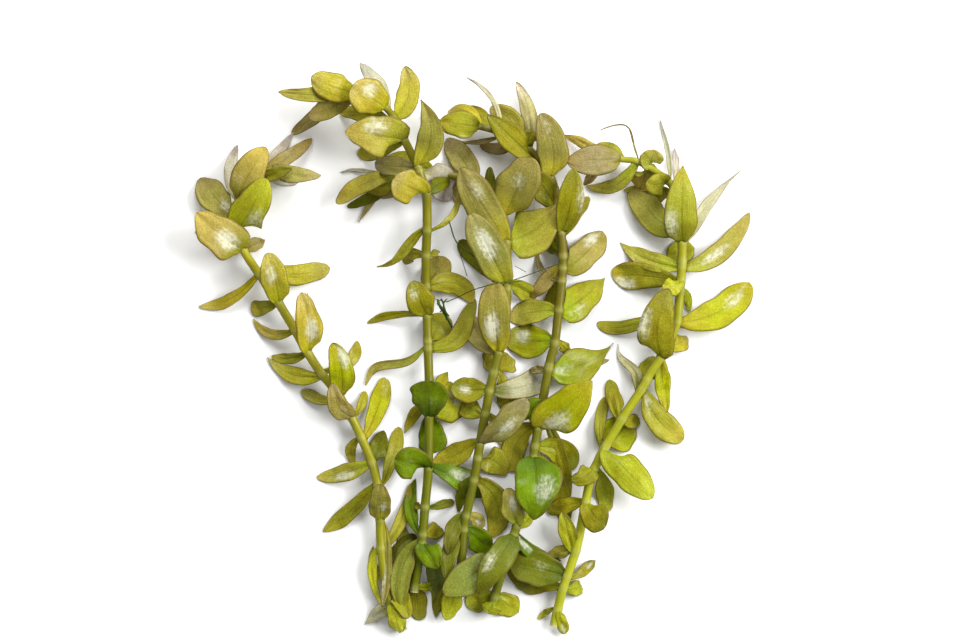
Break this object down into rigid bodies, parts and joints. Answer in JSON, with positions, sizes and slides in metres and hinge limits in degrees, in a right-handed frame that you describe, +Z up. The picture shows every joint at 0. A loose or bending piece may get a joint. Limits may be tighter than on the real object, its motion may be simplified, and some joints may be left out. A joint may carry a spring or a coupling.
{
  "type": "bunch of cut lemon bacopa stems",
  "caption": "Gathered cut stems of lemon bacopa, a water plant, lying flat, with opposite oval leaves up each bent stem and crowded leaves at its curled tip.",
  "frame": {"origin": "middle of the ground under the bunch, at the centre of its box", "axes": "+Z up from the surface that the bunch lies on, +Y from the cut ends to the shoot tips, +X to the right seen from above"},
  "size_m": [0.1852, 0.1889, 0.0209],
  "materials": {
    "yellow_green_leaf": "wet, waxy, a little translucent",
    "olive_leaf": "wet, waxy, a little translucent",
    "deep_green_leaf": "wet, waxy, a little translucent",
    "stem": "wet, waxy, a little translucent"
  },
  "bodies": {
    "root": {"stem_1": "stem", "stem_2": "stem", "stem_3": "stem", "stem_4": "stem", "stem_5": "stem", "leaf_pair_1_01": "yellow_green_leaf", "leaf_pair_1_02": "olive_leaf", "leaf_pair_1_03": "yellow_green_leaf", "leaf_pair_1_04": "olive_leaf", "leaf_pair_1_05": "yellow_green_leaf", "leaf_pair_1_06": "yellow_green_leaf", "leaf_pair_1_07": "yellow_green_leaf", "leaf_pair_1_08": "yellow_green_leaf", "leaf_pair_1_09": "yellow_green_leaf", "leaf_pair_1_10": "yellow_green_leaf", "leaf_pair_1_11": "yellow_green_leaf", "leaf_pair_2_01": "deep_green_leaf", "leaf_pair_2_02": "deep_green_leaf", "leaf_pair_2_03": "deep_green_leaf", "leaf_pair_2_04": "yellow_green_leaf", "leaf_pair_2_05": "deep_green_leaf", "leaf_pair_2_06": "deep_green_leaf", "leaf_pair_2_07": "yellow_green_leaf", "leaf_pair_2_08": "olive_leaf", "leaf_pair_2_09": "yellow_green_leaf", "leaf_pair_2_10": "yellow_green_leaf", "leaf_pair_2_11": "yellow_green_leaf", "leaf_pair_2_12": "yellow_green_leaf", "leaf_pair_3_01": "yellow_green_leaf", "leaf_pair_3_02": "olive_leaf", "leaf_pair_3_03": "olive_leaf", "leaf_pair_3_04": "olive_leaf", "leaf_pair_3_05": "yellow_green_leaf", "leaf_pair_3_06": "olive_leaf", "leaf_pair_3_07": "yellow_green_leaf", "leaf_pair_3_08": "yellow_green_leaf", "leaf_pair_3_09": "yellow_green_leaf", "leaf_pair_3_10": "yellow_green_leaf", "leaf_pair_4_01": "yellow_green_leaf", "leaf_pair_4_02": "deep_green_leaf", "leaf_pair_4_03": "deep_green_leaf", "leaf_pair_4_04": "deep_green_leaf", "leaf_pair_4_05": "deep_green_leaf", "leaf_pair_4_06": "deep_green_leaf", "leaf_pair_4_07": "deep_green_leaf", "leaf_pair_4_08": "deep_green_leaf", "leaf_pair_4_09": "deep_green_leaf", "leaf_pair_4_10": "yellow_green_leaf", "leaf_pair_4_11": "deep_green_leaf", "leaf_pair_5_01": "deep_green_leaf", "leaf_pair_5_02": "yellow_green_leaf", "leaf_pair_5_03": "deep_green_leaf", "leaf_pair_5_04": "yellow_green_leaf", "leaf_pair_5_05": "yellow_green_leaf", "leaf_pair_5_06": "deep_green_leaf", "leaf_pair_5_07": "yellow_green_leaf", "leaf_pair_5_08": "olive_leaf", "leaf_pair_5_09": "yellow_green_leaf", "leaf_pair_5_10": "olive_leaf", "leaf_pair_5_11": "yellow_green_leaf"}
  },
  "joints": []
}
